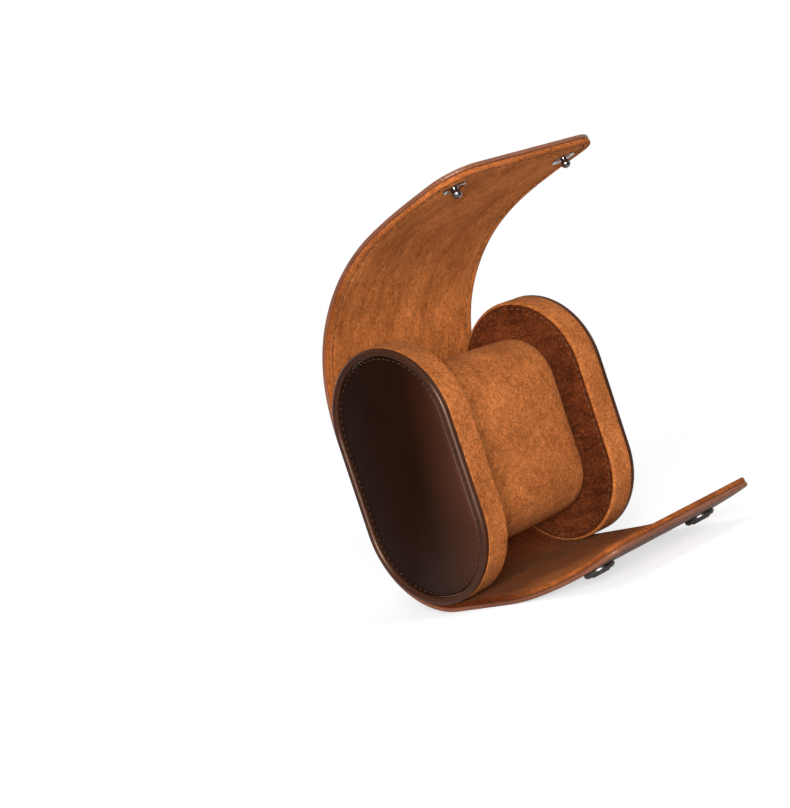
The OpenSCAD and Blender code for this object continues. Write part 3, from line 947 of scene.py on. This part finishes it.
def face_pad(side, word):
    """The padded face: flat below, rounded into the groove, sunk at its stitches, crowned above."""
    seam = [FACE_STITCH_R + d for d in (-0.6, -0.4, -0.2, 0, 0.2, 0.4)]
    radii = sorted([GROOVE_R * k / 26 for k in range(24)] + seam)
    dents = [FACE_DENT * hollow(r - FACE_STITCH_R, FACE_DENT_W) for r in radii]
    profile = [(r, crown_height(r) - dent) for r, dent in zip(radii, dents)]
    shoulder = crown_height(GROOVE_R) - PAD_ROUND - 0.06
    profile += arc_points(GROOVE_R - PAD_ROUND, shoulder, PAD_ROUND, 90, 0, 6)[1:]
    profile += [(GROOVE_R, BAND_H + 0.25)]
    profile += [(r, BAND_H) for r in (GROOVE_R - PAD_FOOT, GROOVE_R * 0.6, 0.0)]
    pad = disc_piece(f"{word}_face_pad", profile, side, closed=False, adjust=pucker)
    finish_piece(pad, SHADED_FACE_LEATHER, "face_leather", "case", f"{word}_face_leather")


def piping_roll(side, word):
    """The leather rolled over its cord, with its foot between the pad and the band."""
    profile = arc_points(DISC_R - PIPING_R, RIM_TOP - PIPING_R, PIPING_R, -38, 200, 22)
    profile += [(DISC_R - 2 * PIPING_R + 0.15, BAND_H), (DISC_R - 0.35, BAND_H)]
    roll = disc_piece(f"{word}_piping_roll", profile, side)
    finish_piece(roll, PIPING, "face_leather", "case", f"{word}_piping")


def side_band(side, word):
    """The suede band, turned over the disc's inner edge."""
    under = BAND_H - 0.02
    profile = [(CORE_R + 0.05, under), (DISC_R - 0.28, under), (DISC_R - 0.08, BAND_H - 0.12)]
    profile += [(DISC_R, h) for h in (BAND_H - 0.4, *BAND_ROWS)]
    profile += arc_points(DISC_R - 1.0, 1.05, 1.0, 0, -90, 8)
    profile += [(CORE_R + 0.02, 0.12), (CORE_R + 0.02, 1.2)]
    band = disc_piece(f"{word}_band_suede", profile, side, adjust=swell)
    finish_piece(band, CARAMEL_BAND, "suede", "case", f"{word}_side_band")


def inner_face(side, word):
    """The dark inner face, sunk a little at its stitches."""
    seam = [INNER_STITCH_R + d for d in (-0.5, -0.25, 0, 0.25, 0.5)]
    radii = sorted([CORE_R * k / 16 for k in range(15)] + seam)
    profile = [(r, INNER_DENT * hollow(r - INNER_STITCH_R, INNER_DENT_W)) for r in radii]
    profile += [(CORE_R - 0.35, 0.0), (CORE_R - 0.1, 0.08), (CORE_R, 0.3), (CORE_R, INNER_T), (0.0, INNER_T)]
    face = disc_piece(f"{word}_inner_suede", profile, side, closed=False)
    finish_piece(face, DARK_SUEDE_AND_SHADE, "dark_suede", "case", f"{word}_inner_face")


for side, word in ((-1, "left"), (1, "right")):
    face_pad(side, word)
    piping_roll(side, word)
    row = disc_stitches(f"{word}_face_stitches", side, FACE_STITCH_R, crown_height(FACE_STITCH_R) - FACE_DENT,
                        FACE_STITCHES)
    finish_piece(row, THREAD_DISC, "face_leather", "case")
    side_band(side, word)
    inner_face(side, word)
    row = disc_stitches(f"{word}_inner_stitches", side, INNER_STITCH_R, 0.22, INNER_STITCHES, outward=-1)
    finish_piece(row, THREAD_TAN, "dark_suede", "case")

# ---- the cushion ----

CUSHION_EDGE, CUSHION_CROWN = 2.6, 0.9
# what the cushion is made smaller by, at its ends, at their edges and round its middle, before it swells
SLACK_END, SLACK_EDGE, SLACK_SIDE = 0.25, 0.4, 0.35
PUFF_FRAMES, PUFF_CAP = 14, 0.3
PUFF_PRESSURE, PUFF_TENSION, PUFF_BENDING = 3.0, 25, 2


def cushion_profile():
    """The cushion's outline as (radius, height), from the middle of one end to the middle of the other."""
    half, end_r = CUSHION_HALF - SLACK_END, CUSHION_R - CUSHION_CROWN - SLACK_EDGE
    bow = (CUSHION_HALF ** 2 + CUSHION_CROWN ** 2) / 2 / CUSHION_CROWN
    flat = [(r, half) for r in (0.0, 3.0, 6.0, 9.0, 11.5)]
    turn = arc_points(end_r - CUSHION_EDGE, half - CUSHION_EDGE, CUSHION_EDGE, 90, 8, 8)
    heights = spread(half - CUSHION_EDGE - 0.6, 0, 1.7)
    along = [(CUSHION_R - SLACK_SIDE - bow + math.sqrt(bow * bow - h * h), h) for h in heights]
    first_half = flat + turn + along
    return first_half + [(r, -h) for r, h in reversed(first_half[:-1])]


def puff(obj, cap):
    """Swells the cushion with cloth pressure, and keeps each point within cap millimetres of its start."""
    before = [v.co.copy() for v in obj.data.vertices]
    cloth = obj.modifiers.new("cloth", "CLOTH")
    cloth.settings.use_pressure = True
    cloth.settings.uniform_pressure_force = PUFF_PRESSURE
    cloth.settings.tension_stiffness = PUFF_TENSION
    cloth.settings.bending_stiffness = PUFF_BENDING
    cloth.settings.effector_weights.gravity = 0
    cloth.point_cache.frame_start, cloth.point_cache.frame_end = 1, PUFF_FRAMES
    scene = bpy.context.scene
    scene.frame_start, scene.frame_end = 1, PUFF_FRAMES
    for frame_number in range(1, PUFF_FRAMES + 1):
        scene.frame_set(frame_number)
    shaped = obj.evaluated_get(bpy.context.evaluated_depsgraph_get()).to_mesh()
    after = [v.co.copy() for v in shaped.vertices]
    obj.modifiers.remove(cloth)
    scene.frame_set(1)
    for vertex, old, new in zip(obj.data.vertices, before, after):
        move = new - old
        if move.length > cap * MM:
            move *= cap * MM / move.length
        vertex.co = old + move


cushion = oval_piece("cushion_pillow", cushion_profile(), 1, 0.0, CUSHION_STRAIGHT, closed=False, sharp=60)
puff(cushion, PUFF_CAP)
finish_piece(cushion, CARAMEL_BAND, "suede", "cushion", "cushion_cover", "cushion_ends", "cushion_foam")

# ---- the snaps: outlines as (radius, height) ----

# the stud: its plate with a raised rim and a dished face, a neck and the ball
PLATE_RIM = [(0.0, -0.5), (3.6, -0.5), (3.95, -0.2), (4.0, 0.1), (3.92, 0.28), (3.7, 0.34)]
PLATE_DISH = [(3.45, 0.24), (2.9, 0.02), (2.2, -0.12), (1.6, -0.12)]
STUD_NECK = [(1.42, 0.0), (1.36, 0.3), (1.05, 0.5), (0.94, 0.62)]
BALL_R, BALL_H = 1.6, 1.9
# the socket: a cup down into the leather, a flange, a raised ring and the bore
CUP_R, CUP_BOTTOM, FLANGE_R, FLANGE_BOTTOM = 2.12, -1.46, 5.2, -0.4
SOCKET_CUP = [(0.0, CUP_BOTTOM), (1.9, CUP_BOTTOM), (CUP_R, -1.3), (CUP_R, FLANGE_BOTTOM)]
SOCKET_FLANGE = [(4.9, FLANGE_BOTTOM), (5.15, -0.1), (FLANGE_R, 0.15), (FLANGE_R, 0.75), (5.08, 1.0),
                 (4.85, 1.16), (4.6, 1.24)]
SOCKET_RING = [(4.55, 1.42), (4.35, 1.5), (3.5, 1.5), (3.15, 1.56), (3.0, 1.78), (2.86, 1.88), (2.6, 1.9),
               (2.1, 1.9), (1.93, 1.84)]
BORE_R, BORE_BOTTOM = 1.86, -1.24
SOCKET_BORE = [(BORE_R, 1.6), (BORE_R, -1.1), (1.75, BORE_BOTTOM), (0.0, BORE_BOTTOM)]


def snap_places(s, depth, sign):
    """Both snaps' points and axes, on the face at that depth. sign is 1 for an axis towards the outside."""
    out = []
    for x in (-SNAP_X, SNAP_X):
        at = strip_point(x, s, depth)
        axis = (strip_point(x, s, depth + sign) - at).normalized()
        out.append((at, axis, Vector((1, 0, 0))))
    return out


stud = PLATE_RIM + PLATE_DISH + STUD_NECK + arc_points(0.0, BALL_H, BALL_R, -54, 90, 18)
studs = lathe("stud_balls", stud, snap_places(STUD_S, 0.0, -1))
finish_piece(studs, SNAP_METAL, "snap_metal", "flap_panel", "snap_studs")
socket = SOCKET_CUP + SOCKET_FLANGE + SOCKET_RING + SOCKET_BORE
sockets = lathe("socket_rings", socket, snap_places(SOCKET_S, STRIP_T, 1))
finish_piece(sockets, SOCKET_METAL, "snap_metal", "lip_panel", "snap_sockets")

# ---- materials of the nodes that stay ----

for name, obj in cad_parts.items():
    if not obj.hide_render:
        obj.data.materials.clear()
        obj.data.materials.append(BOARD if "board" in name else FOAM if "foam" in name else SNAP_METAL)

# ---- floor, light and world ----

FLOOR_COLOUR, FLOOR_LIFT = 0.6, 0.62
FLOOR_R, FLOOR_SIDES, FLOOR_Z = 3.0, 64, -0.00003
# distances from the object's middle over which the floor turns white, and dims in glossy reflections
WHITE_FROM, WHITE_TO = 0.13, 0.34
DIM_FROM, DIM_TO = 0.09, 0.22
WORLD_LIGHT, STUDIO_DIM = 0.28, 0.06
# name, place, aim, diameter and power of each light
LIGHTS = [
    ("key", (-1.15, -1.05, 0.30), (0, 0, 0.06), 0.8, 44),
    ("top", (-0.1, -0.4, 1.5), (0, 0, 0.05), 1.0, 4),
    ("right", (1.2, -0.9, 0.6), (0, 0, 0.06), 0.7, 2),
    ("left", (-1.4, 0.22, 0.10), (0, 0, 0.06), 0.6, 2),
]


def stage_tree(owner, kind):
    """An empty node tree of a material or a world, and the socket of its surface."""
    owner.use_nodes = True
    tree = owner.node_tree
    tree.nodes.clear()
    return tree, tree.nodes.new(kind).inputs["Surface"]


def emission(tree, strength):
    """White light of a strength, given as a number or as a socket."""
    node = tree.nodes.new("ShaderNodeEmission")
    node.inputs["Color"].default_value = (1, 1, 1, 1)
    put(tree, strength, node.inputs["Strength"])
    return node.outputs[0]


def vector_maths(tree, kind, vector):
    """A node that works on one vector."""
    node = tree.nodes.new("ShaderNodeVectorMath")
    node.operation = kind
    tree.links.new(vector, node.inputs[0])
    return node


def behind(tree, direction):
    """1 in the directions of the backdrop, behind the object, and less to the sides and in front."""
    node = vector_maths(tree, "DOT_PRODUCT", direction)
    node.inputs[1].default_value = (CAMERA_AHEAD.x, CAMERA_AHEAD.y, 0)
    return ramp(tree, node.outputs["Value"], [(0.25, grey(STUDIO_DIM)), (0.75, grey(1))])


def ray(tree, kind):
    """1 for rays of a kind."""
    return tree.nodes.new("ShaderNodeLightPath").outputs[f"Is {kind} Ray"]


def direct_rays(tree):
    """1 for the rays that show the background as it is: from the camera and through glass."""
    return maths(tree, "MAXIMUM", ray(tree, "Camera"), ray(tree, "Transmission"))


def shader_mix(tree, factor, a, b):
    """Two shaders mixed: a at factor 0, b at 1."""
    node = tree.nodes.new("ShaderNodeMixShader")
    for value, socket in zip((factor, a, b), node.inputs):
        tree.links.new(value, socket)
    return node.outputs[0]


def floor_shader(tree):
    """A pale floor that keeps the shadow near the object and is white far from it.

    Glossy surfaces see it so behind the object, and dim elsewhere.
    """
    diffuse = tree.nodes.new("ShaderNodeBsdfDiffuse")
    diffuse.inputs["Color"].default_value = (*grey(FLOOR_COLOUR), 1)
    lifted = tree.nodes.new("ShaderNodeAddShader")
    tree.links.new(diffuse.outputs[0], lifted.inputs[0])
    tree.links.new(emission(tree, FLOOR_LIFT), lifted.inputs[1])
    place = object_place(tree)
    reach = vector_maths(tree, "LENGTH", place).outputs["Value"]
    onward = vector_maths(tree, "NORMALIZE", place).outputs[0]
    mirrored = maths(tree, "MULTIPLY", ray(tree, "Glossy"), behind(tree, onward))
    seen = maths(tree, "MAXIMUM", direct_rays(tree), mirrored)
    far = ramp(tree, reach, fade(WHITE_FROM, WHITE_TO))
    unseen = maths(tree, "SUBTRACT", 1.0, seen)
    away = maths(tree, "MULTIPLY", ramp(tree, reach, fade(DIM_FROM, DIM_TO)), unseen)
    near = shader_mix(tree, seen, diffuse.outputs[0], lifted.outputs[0])
    whole = shader_mix(tree, maths(tree, "MULTIPLY", far, seen), near, emission(tree, 1.0))
    dimmed = maths(tree, "MULTIPLY", ray(tree, "Glossy"), away)
    return shader_mix(tree, dimmed, whole, emission(tree, STUDIO_DIM))


def make_floor():
    """A round floor just under the object."""
    mesh = bpy.data.meshes.new("floor")
    angles = [2 * math.pi * k / FLOOR_SIDES for k in range(FLOOR_SIDES)]
    ring = [(FLOOR_R * math.cos(a), FLOOR_R * math.sin(a), FLOOR_Z) for a in angles]
    mesh.from_pydata(ring, [], [tuple(range(FLOOR_SIDES))])
    material = bpy.data.materials.new("floor")
    tree, surface = stage_tree(material, "ShaderNodeOutputMaterial")
    tree.links.new(floor_shader(tree), surface)
    mesh.materials.append(material)
    return add_object("floor", mesh)


def make_world():
    """Even soft light, and a white backdrop behind the object that glossy surfaces also show."""
    world = bpy.data.worlds.new("world")
    tree, surface = stage_tree(world, "ShaderNodeOutputWorld")
    direction = tree.nodes.new("ShaderNodeTexCoord").outputs["Generated"]
    strength = mix(tree, "MIX", ray(tree, "Glossy"), grey(WORLD_LIGHT), behind(tree, direction))
    strength = mix(tree, "MIX", direct_rays(tree), strength, grey(1))
    tree.links.new(emission(tree, strength), surface)
    return world


def area_light(name, at, aim, size, power):
    """A round lamp that looks from its place at its aim."""
    data = bpy.data.lights.new(name, "AREA")
    data.shape = "DISK"
    data.size = size
    data.energy = power
    lamp = add_object(name, data)
    lamp.location = at
    lamp.rotation_mode = "QUATERNION"
    lamp.rotation_quaternion = (Vector(aim) - Vector(at)).to_track_quat("-Z", "Y")


floor = make_floor()
bpy.context.scene.world = make_world()
for light in LIGHTS:
    area_light(*light)
